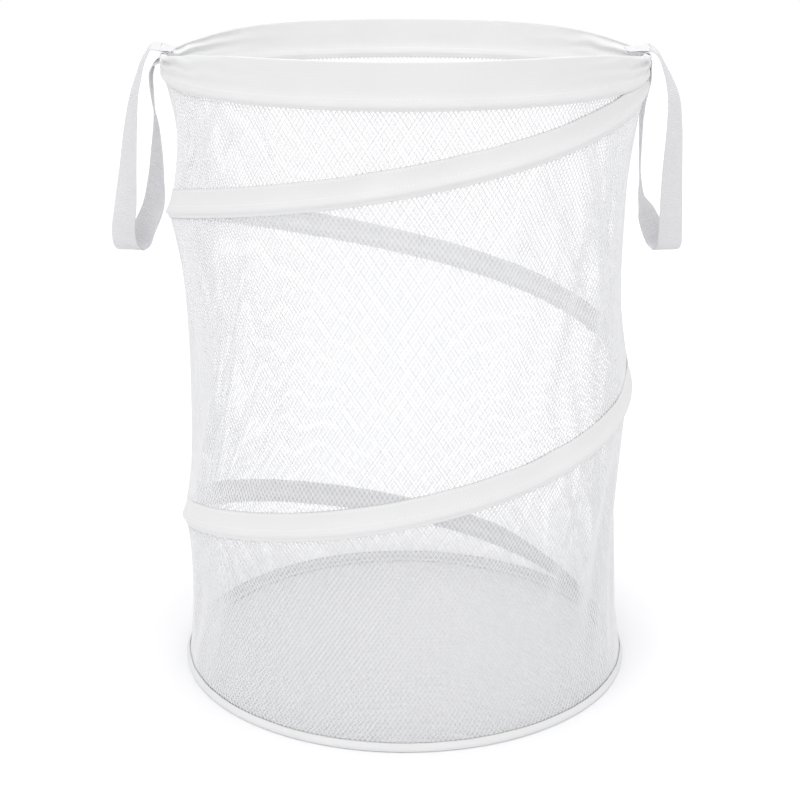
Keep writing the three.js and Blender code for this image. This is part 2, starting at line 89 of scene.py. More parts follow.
WEBBING_WIDTH = 25 * MM
WEBBING_THICKNESS = 1.5 * MM


# Shape of the hamper.

def corner_share(travel, sharpness):
    """1 at the two corners of the mouth, falling to 0 between them."""
    return abs(math.cos(math.radians(travel))) ** sharpness


def mouth_wire(travel):
    """Radius and height of the wire in the band."""
    share = corner_share(travel, LIFT_SHARPNESS)
    return RING_RADIUS + CORNER_REACH * share, HAMPER_HEIGHT - BAND_ABOVE + CORNER_LIFT * share


def band_top(travel):
    return HAMPER_HEIGHT - CORNER_DIP * corner_share(travel, DIP_SHARPNESS)


SPIRAL_TOP = mouth_wire(SPIRAL_START)[1] - BAND_BELOW - SEWN_GAP - LEAST_REACH


def spiral_height_share(at):
    """Share of the spiral's height left at a share of its route, on one smooth curve."""
    keys, values = SPIRAL_TRAVEL_SHARES, SPIRAL_HEIGHT_SHARES
    last = len(keys) - 1
    i = max(1, min(last, sum(key < at for key in keys)))
    start, end = keys[i - 1], keys[i]
    half = (end - start) / 2
    before = half / (start - keys[i - 2]) if i > 1 else -0.5
    after = half / (keys[i + 1] - end) if i < last else -0.5
    previous = values[i - 2] if i > 1 else values[i]
    following = values[i + 1] if i < last else values[i - 1]
    p = (at - start) / (end - start)
    return (
        previous * (-before * p**3 + 2 * before * p**2 - before * p)
        + values[i - 1] * ((1 + before) * p**3 - (1.5 + 2 * before) * p**2 + (before - 0.5) * p + 1)
        + values[i] * ((-1 - after) * p**3 + (1.5 + after) * p**2 + 0.5 * p)
        + following * (after * p**3 - after * p**2)
    )


def spiral_wire(travel):
    """Radius and height of the spiral wire."""
    share = spiral_height_share((travel - SPIRAL_START) / (SPIRAL_END - SPIRAL_START))
    radius = mouth_wire(travel)[0] if travel < FULL_TURN / 2 else RING_RADIUS
    return radius, SPIRAL_BOTTOM + (SPIRAL_TOP - SPIRAL_BOTTOM) * share


def wires_at(travel):
    """Every wire at one side of the hamper, from the mouth down."""
    side = travel % FULL_TURN
    wires = [mouth_wire(side)]
    for turn in (side, side + FULL_TURN):
        if SPIRAL_START <= turn <= SPIRAL_END:
            wires.append(spiral_wire(turn))
    return wires + [(RING_RADIUS, FLOOR_WIRE_Z)]


# Slack folds of the net between two wires: they lean, and are longer than they are wide.
FOLD_DEPTH = 5.5 * MM
FOLD_WIDTH = 32 * MM
FOLD_LENGTH = 210 * MM
FOLD_LEAN = 0.35


def wall_radius(travel, z, wires=None):
    """Radius of the middle of the net at a height: drawn in between its wires, with folds."""
    wires = wires or wires_at(travel)
    pairs = list(zip(wires, wires[1:]))
    above, below = next((pair for pair in pairs if z >= pair[1][1]), pairs[-1])
    gap = above[1] - below[1]
    share = max(0.0, min(1.0, (z - below[1]) / gap))
    pull = max(
        (above[0] - RING_RADIUS) * math.exp((z - above[1]) / CORNER_FADE),
        (below[0] - RING_RADIUS) * math.exp((below[1] - z) / CORNER_FADE),
    )
    slack = 4 * share * (1 - share)
    angle = math.radians(travel) + FOLD_LEAN * z / RING_RADIUS
    around = RING_RADIUS / FOLD_WIDTH
    spot = Vector((math.cos(angle) * around, math.sin(angle) * around, z / FOLD_LENGTH))
    fold = FOLD_DEPTH * noise.noise(spot) * slack * min(1.0, gap / CORNER_FADE / 2)
    return RING_RADIUS + pull - SAG_SHARE * gap * slack + fold


def placed(radius, travel, z):
    angle = -math.radians(travel)
    return Vector((radius * math.cos(angle), radius * math.sin(angle), z))


def steps(first, last, count):
    """Evenly spaced values, both ends included."""
    return [first + (last - first) * i / count for i in range(count + 1)]


# Making and finishing pieces.

def linear(code):
    """An sRGB hex colour as linear values."""
    values = [int(code[i : i + 2], 16) / 255 for i in (0, 2, 4)]
    return [v / 12.92 if v <= 0.04045 else ((v + 0.055) / 1.055) ** 2.4 for v in values] + [1.0]


def add_node(tree, kind, settings=None, links=None):
    """A node with its settings and links, each by the name or number of the input."""
    node = tree.nodes.new(kind)
    for name, value in (settings or {}).items():
        if isinstance(name, str) and hasattr(node, name):
            setattr(node, name, value)
        else:
            node.inputs[name].default_value = value
    for name, output in (links or {}).items():
        tree.links.new(output, node.inputs[name])
    return node


def finished(name, bm, material, smooth=True):
    """The object made of a bmesh."""
    mesh = bpy.data.meshes.new(name)
    bm.to_mesh(mesh)
    bm.free()
    mesh.materials.append(material)
    mesh.shade_smooth() if smooth else mesh.shade_flat()
    piece = bpy.data.objects.new(name, mesh)
    bpy.context.scene.collection.objects.link(piece)
    return piece


def with_modifier(piece, kind, **settings):
    """Adds a modifier and takes its result as the mesh."""
    modifier = piece.modifiers.new(kind.title(), kind)
    for name, value in settings.items():
        setattr(modifier, name, value)
    bpy.context.view_layer.update()
    shown = piece.evaluated_get(bpy.context.evaluated_depsgraph_get())
    result = bpy.data.meshes.new_from_object(shown)
    piece.modifiers.clear()
    piece.data = result
    return piece


WELD = 0.02 * MM  # points closer than this become one


def skin(name, sections, material, closed=False, ring=False, caps=False):
    """A grid laid over a row of sections, each a list of as many points. Closed joins the last
    section to the first, ring joins each section's ends, and caps fills the two ends. Its UV
    map is in metres: U along the row, V along the sections."""
    columns, rows = len(sections) - 1, len(sections[0]) - 1
    bm = bmesh.new()
    uv = bm.loops.layers.uv.new("cloth")
    bmesh.ops.create_grid(bm, x_segments=columns, y_segments=rows, size=0.5)
    middle = rows // 2
    along = [0.0]
    for before, after in zip(sections, sections[1:]):
        along.append(along[-1] + (after[middle] - before[middle]).length)
    across = [0.0]
    for before, after in zip(sections[columns // 2], sections[columns // 2][1:]):
        across.append(across[-1] + (after - before).length)
    spots = {v: (round((v.co.x + 0.5) * columns), round((v.co.y + 0.5) * rows)) for v in bm.verts}
    for face in bm.faces:
        for corner in face.loops:
            column, row = spots[corner.vert]
            corner[uv].uv = along[column], across[row]
    for vert, (column, row) in spots.items():
        vert.co = sections[column][row]
    if closed or ring:
        bmesh.ops.remove_doubles(bm, verts=bm.verts, dist=WELD)
    if caps:
        ends = [edge for edge in bm.edges if edge.is_boundary]
        bmesh.ops.holes_fill(bm, edges=ends, sides=0)
    bmesh.ops.recalc_face_normals(bm, faces=bm.faces)
    return finished(name, bm, material)


CLOTH_THICKNESS = 0.6 * MM


def cloth(piece):
    """Gives a strip its thickness, half to each side."""
    return with_modifier(piece, "SOLIDIFY", thickness=CLOTH_THICKNESS, offset=0)


# Everything between the floor ring and the band flattens when the mouth is pressed down. The
# net stops short of each wire by its tuck.
NET_TUCK = 1.6 * MM
NET_SEWN_IN = BAND_BELOW - NET_TUCK
NET_TOP = HAMPER_HEIGHT - BAND_ABOVE - BAND_BELOW + NET_SEWN_IN


def folds_flat(piece):
    """The piece stays on the floor ring: it goes on the base's body, with a mesh of its own."""
    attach(piece, "base")
    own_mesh(piece)
    return piece


# Materials.

BAND_PERIOD = math.pi / 10


def coordinates(tree, kind):
    return add_node(tree, "ShaderNodeTexCoord").outputs[kind]


def noise_node(tree, place, size, detail=2.0):
    """Noise with patches of about a size in metres."""
    settings = {"Scale": 1 / size, "Detail": detail}
    return add_node(tree, "ShaderNodeTexNoise", settings, {"Vector": place}).outputs["Fac"]


def sum_node(tree, first, second):
    return add_node(tree, "ShaderNodeMath", {"operation": "ADD"}, {0: first, 1: second}).outputs[0]


def threads(tree, place, direction, spacing):
    """Even ridges across one direction of the UV map, with their real spacing in metres."""
    settings = {"bands_direction": direction, "Scale": BAND_PERIOD / spacing, "Distortion": 0.6}
    return add_node(tree, "ShaderNodeTexWave", settings, {"Vector": place}).outputs["Fac"]


def fabric(name, light, shade, patch, roughness, sheen):
    """A fabric whose colour drifts between two tints from patch to patch."""
    material = bpy.data.materials.new(name)
    material.use_nodes = True
    tree = material.node_tree
    shader = tree.nodes["Principled BSDF"]
    shader.inputs["Roughness"].default_value = roughness
    shader.inputs["Sheen Weight"].default_value = sheen
    shader.inputs["Sheen Roughness"].default_value = 0.4
    cloud = noise_node(tree, coordinates(tree, "Object"), patch, 3.0)
    ends = {6: linear(shade), 7: linear(light), "data_type": "RGBA"}
    tint = add_node(tree, "ShaderNodeMix", ends, {0: cloud})
    tree.links.new(tint.outputs[2], shader.inputs["Base Color"])
    return material, tree, shader


def bumped(tree, shader, height, depth):
    """Lets a height from 0 to 1 bump the surface by a depth in metres."""
    settings = {"Strength": 1.0, "Distance": depth}
    bump = add_node(tree, "ShaderNodeBump", settings, {"Height": height})
    tree.links.new(bump.outputs["Normal"], shader.inputs["Normal"])


def taffeta():
    """Plain woven polyester taffeta: smooth and crisp, with a faint crosswise weave. The real
    threads are 0.2 mm apart; they are drawn 1 mm apart so that they show."""
    name, light, shade = "woven_polyester_taffeta", "E6E6E6", "E1E1E2"
    material, tree, shader = fabric(name, light, shade, patch=60 * MM, roughness=0.62, sheen=0.06)
    place = coordinates(tree, "UV")
    warp, weft = (threads(tree, place, direction, 1.0 * MM) for direction in "XY")
    bumped(tree, shader, sum_node(tree, warp, weft), 0.03 * MM)
    return material


def knitted_net(name, light, shade):
    """Knitted polyester net: strands of several fine filaments, matt, with small slubs."""
    material, tree, shader = fabric(name, light, shade, patch=25 * MM, roughness=0.7, sheen=0.05)
    slubs = noise_node(tree, coordinates(tree, "Object"), 0.5 * MM)
    bumped(tree, shader, slubs, 0.08 * MM)
    return material


def webbing_cloth():
    """Ribbed polyester webbing: the ribs are modelled, and fine yarns run along it, 0.6 mm
    apart, with a soft fuzz."""
    name, light, shade = "ribbed_polyester_webbing", "E0E0E2", "D9D9DC"
    material, tree, shader = fabric(name, light, shade, patch=12 * MM, roughness=0.75, sheen=0.1)
    place = coordinates(tree, "UV")
    yarns = threads(tree, place, "Y", 0.6 * MM)
    fuzz = noise_node(tree, place, 0.4 * MM)
    bumped(tree, shader, sum_node(tree, yarns, fuzz), 0.06 * MM)
    return material


def sewing_thread():
    """Spun polyester thread: twisted, a little brighter than the cloth."""
    name, light, shade = "spun_polyester_thread", "F8F8F8", "F0F0F0"
    material, tree, shader = fabric(name, light, shade, patch=5 * MM, roughness=0.55, sheen=0.1)
    twist = noise_node(tree, coordinates(tree, "Object"), 0.25 * MM)
    bumped(tree, shader, twist, 0.05 * MM)
    return material


def drawn_metal(name, colour, roughness, grain):
    """Metal with a fine grain that varies its gloss."""
    material = bpy.data.materials.new(name)
    material.use_nodes = True
    tree = material.node_tree
    shader = tree.nodes["Principled BSDF"]
    shader.inputs["Base Color"].default_value = linear(colour)
    shader.inputs["Metallic"].default_value = 1.0
    marks = noise_node(tree, coordinates(tree, "Object"), grain, 4.0)
    low_high = {"To Min": roughness - 0.08, "To Max": roughness + 0.08}
    gloss = add_node(tree, "ShaderNodeMapRange", low_high, {"Value": marks})
    tree.links.new(gloss.outputs["Result"], shader.inputs["Roughness"])
    return material


def dipped_vinyl():
    """Dipped vinyl: soft gloss with a faint orange peel."""
    name, light, shade = "dipped_vinyl", "E2E2E0", "DADAD8"
    material, tree, shader = fabric(name, light, shade, patch=3 * MM, roughness=0.42, sheen=0.0)
    peel = noise_node(tree, coordinates(tree, "Object"), 0.8 * MM)
    bumped(tree, shader, peel, 0.02 * MM)
    return material


TAFFETA = taffeta()
NET = knitted_net("knitted_polyester_net", "F9F9FA", "F5F5F7")
# The floor net is the wall's net painted a little darker: painted shade for the floor inside the
# hamper, where less light falls.
FLOOR_NET = knitted_net("floor_net_painted_shade", "F6F6F8", "F0F0F3")
WEBBING = webbing_cloth()
THREAD = sewing_thread()
SPRING_STEEL = drawn_metal("drawn_spring_steel", "8D9096", roughness=0.36, grain=0.6 * MM)
ZINC_STEEL = drawn_metal("zinc_plated_steel", "B4B7BA", roughness=0.42, grain=1.2 * MM)
VINYL = dipped_vinyl()


# Net.

CELL_WIDTH = 4.72 * MM
CELL_HEIGHT = 7.0 * MM
STRAND = 1.05 * MM


def net_piece(name, material, columns, rows, place, keep, settle=None, own=None):
    """Knitted net. Its cells are drawn flat: a grid whose squares are poked and whose own lines
    are dissolved, so that diamonds are left. place(x, y) sets each point from its place in the
    grid, keep(centre) says which cells stay, and own(centre) which strands."""
    bm = bmesh.new()
    bmesh.ops.create_grid(bm, x_segments=columns, y_segments=rows, size=0.5)
    lines = [edge for edge in bm.edges if not edge.is_boundary]
    bmesh.ops.poke(bm, faces=bm.faces[:])
    bmesh.ops.dissolve_edges(bm, edges=lines, use_verts=False)
    for vert in bm.verts:
        vert.co = place((vert.co.x + 0.5) * columns, (vert.co.y + 0.5) * rows)
    dropped = [face for face in bm.faces if not keep(face.calc_center_median())]
    bmesh.ops.delete(bm, geom=dropped, context="FACES")
    if settle:
        settle(bm)
    bmesh.ops.recalc_face_normals(bm, faces=bm.faces)
    bmesh.ops.wireframe(
        bm,
        faces=bm.faces,
        thickness=STRAND,
        offset=0,
        use_replace=True,
        use_boundary=True,
        use_even_offset=False,
    )
    if own:
        others = [face for face in bm.faces if not own(face.calc_center_median())]
        bmesh.ops.delete(bm, geom=others, context="FACES")
    return finished(name, bm, material)


WALL_SECTORS = 6
SECTOR_COLUMNS = round(math.tau * RING_RADIUS / CELL_WIDTH / WALL_SECTORS)
WALL_ROWS = round((NET_TOP - FLOOR_WIRE_Z) / CELL_HEIGHT)


def travel_of(point):
    return math.degrees(-math.atan2(point.y, point.x)) % FULL_TURN


def net_wall(index):
    """One sixth of the net wall, with a column more at each side while its strands are made.
    The strip that winds down between the wires runs behind the channels and stops short of
    each wire."""
    column_turn = FULL_TURN / (WALL_SECTORS * SECTOR_COLUMNS)
    first = index * SECTOR_COLUMNS - 1
    low = FLOOR_WIRE_Z + NET_TUCK
    known = {}

    def wires_near(travel):
        key = round(travel % FULL_TURN, 4)
        if key not in known:
            known[key] = wires_at(travel)
        return known[key]

    def place(x, y):
        travel = (first + x) * column_turn
        wires = wires_near(travel)
        z = low + (wires[0][1] - NET_TUCK - low) * y / WALL_ROWS
        return placed(wall_radius(travel, z, wires), travel, z)

    def keep(centre):
        spiral = wires_at(travel_of(centre))[1:-1]
        reach = NET_TUCK + CELL_HEIGHT / 2
        return all(abs(centre.z - z) > reach for _, z in spiral)

    def own(centre):
        travel = travel_of(centre)
        high = mouth_wire(travel)[1] - NET_TUCK
        between = low + STRAND / 2 < centre.z < high - STRAND / 2
        return between and int(travel / FULL_TURN * WALL_SECTORS) == index

    name, columns = f"net_wall_{index + 1}", SECTOR_COLUMNS + 2
    piece = net_piece(name, NET, columns, WALL_ROWS, place, keep, own=own)
    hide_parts("wall_net")
    return folds_flat(piece)


FLOOR_SEWN_IN = 1.8 * MM
FLOOR_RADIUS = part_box("base_net")[1].x + FLOOR_SEWN_IN
FLOOR_NET_Z = 0.42 * MM


def net_floor():
    """The net floor: a flat disc, its outermost cells trimmed to the ring and caught in its
    binding."""
    columns = 2 * math.ceil(FLOOR_RADIUS / CELL_WIDTH)
    rows = 2 * math.ceil(FLOOR_RADIUS / CELL_HEIGHT)

    def place(x, y):
        return Vector(((x - columns / 2) * CELL_WIDTH, (y - rows / 2) * CELL_HEIGHT, FLOOR_NET_Z))

    def keep(centre):
        return math.hypot(centre.x, centre.y) < FLOOR_RADIUS - CELL_WIDTH / 4

    def settle(bm):
        rim = {vert for edge in bm.edges if edge.is_boundary for vert in edge.verts}
        for vert in rim:
            flat = Vector((vert.co.x, vert.co.y, 0)).normalized() * (FLOOR_RADIUS - STRAND)
            vert.co = flat + Vector((0, 0, FLOOR_NET_Z))

    def own(centre):
        return math.hypot(centre.x, centre.y) < FLOOR_RADIUS - 1.5 * STRAND

    piece = net_piece("floor_net", FLOOR_NET, columns, rows, place, keep, settle=settle, own=own)
    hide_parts("base_net")
    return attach(piece, "base")


# Channels of cloth round the wires: wide round the wire, sewn flat above it, and open by the
# net's thickness below it. Rise and tuck are the heights over which the depth fades, above
# the wire and below it.
RIDGE_HALF = 2.75 * MM
RIDGE_RISE = 6.5 * MM
FLAT_HALF = 0.8 * MM
LIP_HALF = 1.2 * MM
TUCK_BELOW = 2 * MM
TUCK_SHARPNESS = 8


def channel_half(height, side):
    """Half of a channel's depth at a height above its wire. The side is 1 outwards, where the
    cloth is tucked in sharply over the lip, and -1 inwards, where it slopes evenly to it."""
    if height > 0:
        return FLAT_HALF + (RIDGE_HALF - FLAT_HALF) * math.exp(-((height / RIDGE_RISE) ** 2))
    if side < 0:
        return RIDGE_HALF + (LIP_HALF - RIDGE_HALF) * min(1.0, -height / BAND_BELOW)
    fade = math.exp(-((height / TUCK_BELOW) ** TUCK_SHARPNESS))
    return LIP_HALF + (RIDGE_HALF - LIP_HALF) * fade


def pucker(travel, height, size, depth):
    """Small waves, of a size in metres, that the stitching draws into cloth."""
    angle = math.radians(travel)
    across, along = math.cos(angle) * RING_RADIUS / size, math.sin(angle) * RING_RADIUS / size
    return depth * noise.noise(Vector((across, along, height / size / 2)))


# Mouth band: the folds that the loops pull into it near the corners, from just above the
# wire, the bulk of cloth in them, and the soft waves of its upper edge. Each pair below is the
# size and depth of puckers.
GATHER_START = 2.5 * MM
GATHER_DEPTH = 3.4 * MM
GATHER_SPACING = 7 * MM
GATHER_SHARPNESS = 9
GATHER_WANDER = 2.2
WANDER_DEGREES = 9
SEWN_SHARPNESS = 250
EDGE_WAVES = (55 * MM, 1.3 * MM)
SEWN_PUCKERS = (11 * MM, 0.5 * MM)
BULK_HALF = 1 * MM
BULK_SHARPNESS = 200
BAND_COLUMNS = 360
RIDGE_ROWS = 18
BAND_ROWS = 32
FOLD_STEPS = 6


def band_shift(travel, height, top):
    """How far the band's cloth lies outwards of its middle surface."""
    risen = max(0.0, min(1.0, (height - GATHER_START) / (top / 2)))
    corner = corner_share(travel, GATHER_SHARPNESS) * (1 - corner_share(travel, SEWN_SHARPNESS))
    spot = Vector((travel / WANDER_DEGREES, height / GATHER_SPACING / 3, 5))
    wander = GATHER_WANDER * noise.noise(spot)
    spread = 1 + (1 - corner) * 0.8
    gathers = math.sin(math.tau * height / (GATHER_SPACING * spread) + wander) * corner
    wave = pucker(travel, height, *EDGE_WAVES)
    sewn = pucker(travel, height, *SEWN_PUCKERS) * (1 - risen)
    started = min(1.0, max(0.0, height / GATHER_START))
    return risen * (GATHER_DEPTH * gathers + wave) + sewn * started


def band_height(travel):
    """Height of the band's hem above its wire, to the middle of the hem's fold."""
    return band_top(travel) - mouth_wire(travel)[1] - FLAT_HALF - CLOTH_THICKNESS / 2


def band_section(travel):
    """The folded cloth of the band, from its outer lip up over the hem and down to the inner
    lip."""
    radius, z = mouth_wire(travel)
    top = band_height(travel)
    heights = steps(-BAND_BELOW, BAND_BELOW, RIDGE_ROWS) + steps(BAND_BELOW, top, BAND_ROWS)[1:]
    bulk = BULK_HALF * corner_share(travel, BULK_SHARPNESS)
    fold = FLAT_HALF + bulk
    wires = wires_at(travel)

    def middle(height):
        base = wall_radius(travel, z + height, wires) if height < 0 else radius
        return base + band_shift(travel, height, top)

    def half(height, side):
        return channel_half(height, side) + bulk * min(1.0, max(0.0, 3 * height / top))

    outer = [placed(middle(h) + half(h, 1), travel, z + h) for h in heights]
    inner = [placed(middle(h) - half(h, -1), travel, z + h) for h in reversed(heights)]
    hem = [
        placed(middle(top) + fold * math.cos(a), travel, z + top + FLAT_HALF * math.sin(a))
        for a in steps(0, math.pi, FOLD_STEPS)[1:-1]
    ]
    return outer + hem + inner


def mouth_band():
    sections = [band_section(travel) for travel in steps(0, FULL_TURN, BAND_COLUMNS)]
    piece = cloth(skin("mouth_band", sections, TAFFETA, closed=True))
    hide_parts("top_band")
    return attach(piece, "mouth")


def channel_reach(travel):
    """Height of the channel's upper edge above the wire: never into the band, and narrowed
    over its lower end."""
    under_band = mouth_wire(travel)[1] - BAND_BELOW - SEWN_GAP - spiral_wire(travel)[1]
    left = min(1.0, (SPIRAL_END - travel) / CHANNEL_TAPER)
    tapered = LEAST_REACH + (CHANNEL_ABOVE - LEAST_REACH) * left
    return min(tapered, under_band) if travel < FULL_TURN else tapered


RIDGE_REACH = 2.6 * MM
CHANNEL_ROWS = {"lip": 6, "ridge": 6, "flat": 9}
CHANNEL_DEGREES = 1.5
CHANNEL_PUCKERS = (12 * MM, 0.35 * MM)
CHANNEL_FLUTTER = (40 * MM, 0.8 * MM)


def channel_travels():
    count = round((SPIRAL_END - SPIRAL_START) / CHANNEL_DEGREES)
    return steps(SPIRAL_START, SPIRAL_END, count)


def channel_radius(travel, height, side, wires):
    """Radius of the middle of the channel, where its loose upper edge flutters."""
    _, z = spiral_wire(travel)
    risen = max(0.0, height) / CHANNEL_ABOVE
    wave = pucker(travel, z, *CHANNEL_PUCKERS) * risen
    flutter = pucker(travel, z + side, *CHANNEL_FLUTTER) * risen**2
    return wall_radius(travel, z + height, wires) + wave + flutter


def channel_section(travel, side):
    """One layer of the spiral channel, from its lip to its upper edge."""
    _, z = spiral_wire(travel)
    reach = channel_reach(travel)
    lip = min(CHANNEL_BELOW, z - BINDING_TOP - SEWN_GAP)
    below = steps(-lip, -RIDGE_REACH * lip / CHANNEL_BELOW, CHANNEL_ROWS["lip"])
    above = steps(RIDGE_REACH, reach, CHANNEL_ROWS["flat"])
    heights = [*below[:-1], *steps(below[-1], above[0], CHANNEL_ROWS["ridge"]), *above[1:]]
    wires = wires_at(travel)
    points = []
    for height in heights:
        radius = channel_radius(travel, height, side, wires)
        points.append(placed(radius + side * channel_half(height, side), travel, z + height))
    return points


def spiral_channel(name, side):
    """One layer of the spiral channel: side is 1 for the outer one and -1 for the inner."""
    sections = [channel_section(travel, side) for travel in channel_travels()]
    piece = cloth(skin(name, sections, TAFFETA))
    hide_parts("spiral_sleeve")
    return folds_flat(piece)


HEM_WIDTH = 10 * MM
HEM_COLUMNS = 4
HEM_Z = 1.1 * MM
HEM_PUCKERS = (9 * MM, 0.3 * MM)


def floor_hem():
    """The hem of the net floor, a flat strip inside the binding."""
    outer = FLOOR_RADIUS
    sections = []
    for travel in steps(0, FULL_TURN, BAND_COLUMNS):
        rise = pucker(travel, 0, *HEM_PUCKERS)
        radii = steps(outer, outer - HEM_WIDTH, HEM_COLUMNS)
        sections.append([placed(radius, travel, HEM_Z + rise) for radius in radii])
    piece = cloth(skin("floor_hem", sections, TAFFETA, closed=True))
    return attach(piece, "base")


# The binding: one tape folded round the floor wire from below, its lips round the net. Half
# of its outline is in metres outwards of the wire and above it.
BINDING_OUTLINE = [
    (2.75 * MM, 0.9 * MM), (2.8 * MM, 0), (2.75 * MM, -1.2 * MM), (2.55 * MM, -2.2 * MM),
    (2.1 * MM, -2.95 * MM), (1.3 * MM, -3.3 * MM), (0, -3.35 * MM),
]
BINDING_PUCKERS = (13 * MM, 0.4 * MM)


def binding_section(travel):
    """The binding from its outer lip, round the wire, to its inner lip."""
    lip = BINDING_TOP - FLOOR_WIRE_Z
    wires = wires_at(travel)
    lip_radius = wall_radius(travel, BINDING_TOP, wires)
    rise = pucker(travel, 0, *BINDING_PUCKERS)
    sides = [(LIP_HALF, lip), (LIP_HALF + 0.2 * MM, lip * 0.75), (1.9 * MM, lip * 0.48)]
    half = sides + BINDING_OUTLINE
    points = []
    for side, outline in ((1, half), (-1, half[-2::-1])):
        for reach, height in outline:
            risen = max(0.0, height / lip)
            radius = RING_RADIUS + (lip_radius - RING_RADIUS) * risen + rise * risen
            points.append(placed(radius + side * reach, travel, FLOOR_WIRE_Z + height))
    return points


def floor_binding():
    sections = [binding_section(travel) for travel in steps(0, FULL_TURN, BAND_COLUMNS)]
    piece = cloth(skin("floor_binding", sections, TAFFETA, closed=True))
    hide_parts("bottom_binding")
    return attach(piece, "base")


WIRE_SET_BACK = 0.6
WIRE_STEPS = 340
WIRE_SIDES = 10


def spiral_spring():
    """The spring wire of the spiral, hidden in its channel and set back from its ends."""
    first, last = SPIRAL_START + WIRE_SET_BACK, SPIRAL_END - WIRE_SET_BACK
    sections = []
    for travel in steps(first, last, WIRE_STEPS):
        radius, z = spiral_wire(travel)
        ring = [
            (WIRE_RADIUS * math.cos(a), WIRE_RADIUS * math.sin(a))
            for a in steps(0, math.tau, WIRE_SIDES)
        ]
        sections.append([placed(radius + out, travel, z + up) for out, up in ring])
    piece = skin("spiral_wire", sections, SPRING_STEEL, ring=True, caps=True)
    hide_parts("spiral_spring_wire")
    return folds_flat(piece)


# Seam of the net wall: its two edges, overlocked together, stand inwards as a fin that sways
# from side to side by some degrees. The cut strip also has the part between the layers.
SEAM_WIDTH = 7 * MM
SEAM_THICKNESS = 1.0 * MM
SEAM_ROWS = 150
SEAM_COLUMNS = 5
SEAM_SWAY = 0.4
SEAM_SWAY_LENGTH = 60 * MM


def wall_clearance(travel, z, wires):
    """How far the inside of the net or of a channel lies inwards of the net's middle."""
    least = STRAND / 2 + SEWN_GAP
    for _, wire_z in wires[1:-1]:
        height = z - wire_z
        if -CHANNEL_BELOW < height < CHANNEL_ABOVE + SEWN_GAP:
            least = channel_half(height, -1) + CLOTH_THICKNESS / 2 + SEWN_GAP
    return least


def wall_seam():
    wires = wires_at(SEAM_TRAVEL)
    low = BINDING_TOP + SEWN_GAP
    high = mouth_wire(SEAM_TRAVEL)[1] - BAND_BELOW - SEWN_GAP
    sections = []
    for z in steps(low, high, SEAM_ROWS):
        edge = wall_radius(SEAM_TRAVEL, z, wires) - wall_clearance(SEAM_TRAVEL, z, wires)
        sway = SEAM_SWAY * noise.noise(Vector((z / SEAM_SWAY_LENGTH, 3, 0)))
        widths = steps(0, SEAM_WIDTH, SEAM_COLUMNS)
        sections.append([placed(edge - w, SEAM_TRAVEL + sway * w / SEAM_WIDTH, z) for w in widths])
    piece = skin("wall_seam", sections, NET)
    with_modifier(piece, "SOLIDIFY", thickness=SEAM_THICKNESS, offset=0)
    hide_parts("side_seam")
    return folds_flat(piece)


# Webbing: its ribs run across it and fade out towards the selvedges.

RIB_SPACING = 2.2 * MM
RIB_DEPTH = 0.17 * MM
RIB_STEPS = 5
RIB_END_SHARPNESS = 8
ACROSS_STEPS = 8
SELVEDGE_STEPS = 4
CURVE_STEPS = 40


def on_curve(points, at):
    """Point on the smooth curve through points, at a place counted in points."""
    last = len(points) - 1
    i = min(int(at), last - 1)
    b, c = points[i], points[i + 1]
    a = points[i - 1] if i > 0 else 2 * b - c
    d = points[i + 2] if i + 2 <= last else 2 * c - b
    ab, bc, cd = (math.sqrt((q - p).length) for p, q in ((a, b), (b, c), (c, d)))
    bc = bc or 1.0
    ab, cd = ab or bc, cd or bc
    start = ((b - a) / ab - (c - a) / (ab + bc) + (c - b) / bc) * bc
    end = ((c - b) / bc - (d - b) / (bc + cd) + (d - c) / cd) * bc
    t = at - i
    curve = (2 * b - 2 * c + start + end) * t**3 + (3 * c - 3 * b - 2 * start - end) * t**2
    return curve + start * t + b


def evenly(points, turns, spacing):
    """The curve through points as even steps: a list of (place, twist)."""
    count = (len(points) - 1) * CURVE_STEPS
    places = [on_curve(points, i / CURVE_STEPS) for i in range(count + 1)]
    twists = [on_curve(turns, i / CURVE_STEPS).x for i in range(count + 1)]
    lengths = [0.0]
    for before, after in zip(places, places[1:]):
        lengths.append(lengths[-1] + (after - before).length)
    samples, j = [], 0
    for wanted in steps(0, lengths[-1], round(lengths[-1] / spacing)):
        while j < count - 1 and lengths[j + 1] < wanted:
            j += 1
        share = (wanted - lengths[j]) / max(lengths[j + 1] - lengths[j], MM * MM)
        twist = twists[j] + (twists[j + 1] - twists[j]) * share
        samples.append((places[j].lerp(places[j + 1], share), twist))
    return samples


def webbing_strip(name, samples, across_at):
    """A strap led through samples, with a rib across it every rib spacing and rounded
    selvedges. across_at(twist, place) is the direction of its width."""
    half_width, half_depth = WEBBING_WIDTH / 2, WEBBING_THICKNESS / 2
    depth, flat = half_depth - RIB_DEPTH, half_width - half_depth
    widths = [(x, 1 - (x / flat) ** RIB_END_SHARPNESS) for x in steps(flat, -flat, ACROSS_STEPS)]
    rounds = steps(0, math.pi, SELVEDGE_STEPS)[1:-1]
    left = [(-flat - half_depth * math.sin(a), depth * math.cos(a)) for a in rounds]
    right = [(-x, -y) for x, y in left]
    sections = []
    last = len(samples) - 1
    for i, (place, twist) in enumerate(samples):
        along = (samples[min(i + 1, last)][0] - samples[max(i - 1, 0)][0]).normalized()
        across = across_at(twist, place)
        across = (across - across.dot(along) * along).normalized()
        face = along.cross(across)
        rib = RIB_DEPTH * math.cos(math.tau * i / RIB_STEPS)
        top = [(x, depth + rib * share) for x, share in widths]
        bottom = [(-x, -y) for x, y in top]
        outline = [*top, *left, *bottom, *right, top[0]]
        sections.append([place + across * x + face * y for x, y in outline])
    return skin(name, sections, WEBBING, ring=True, caps=True)


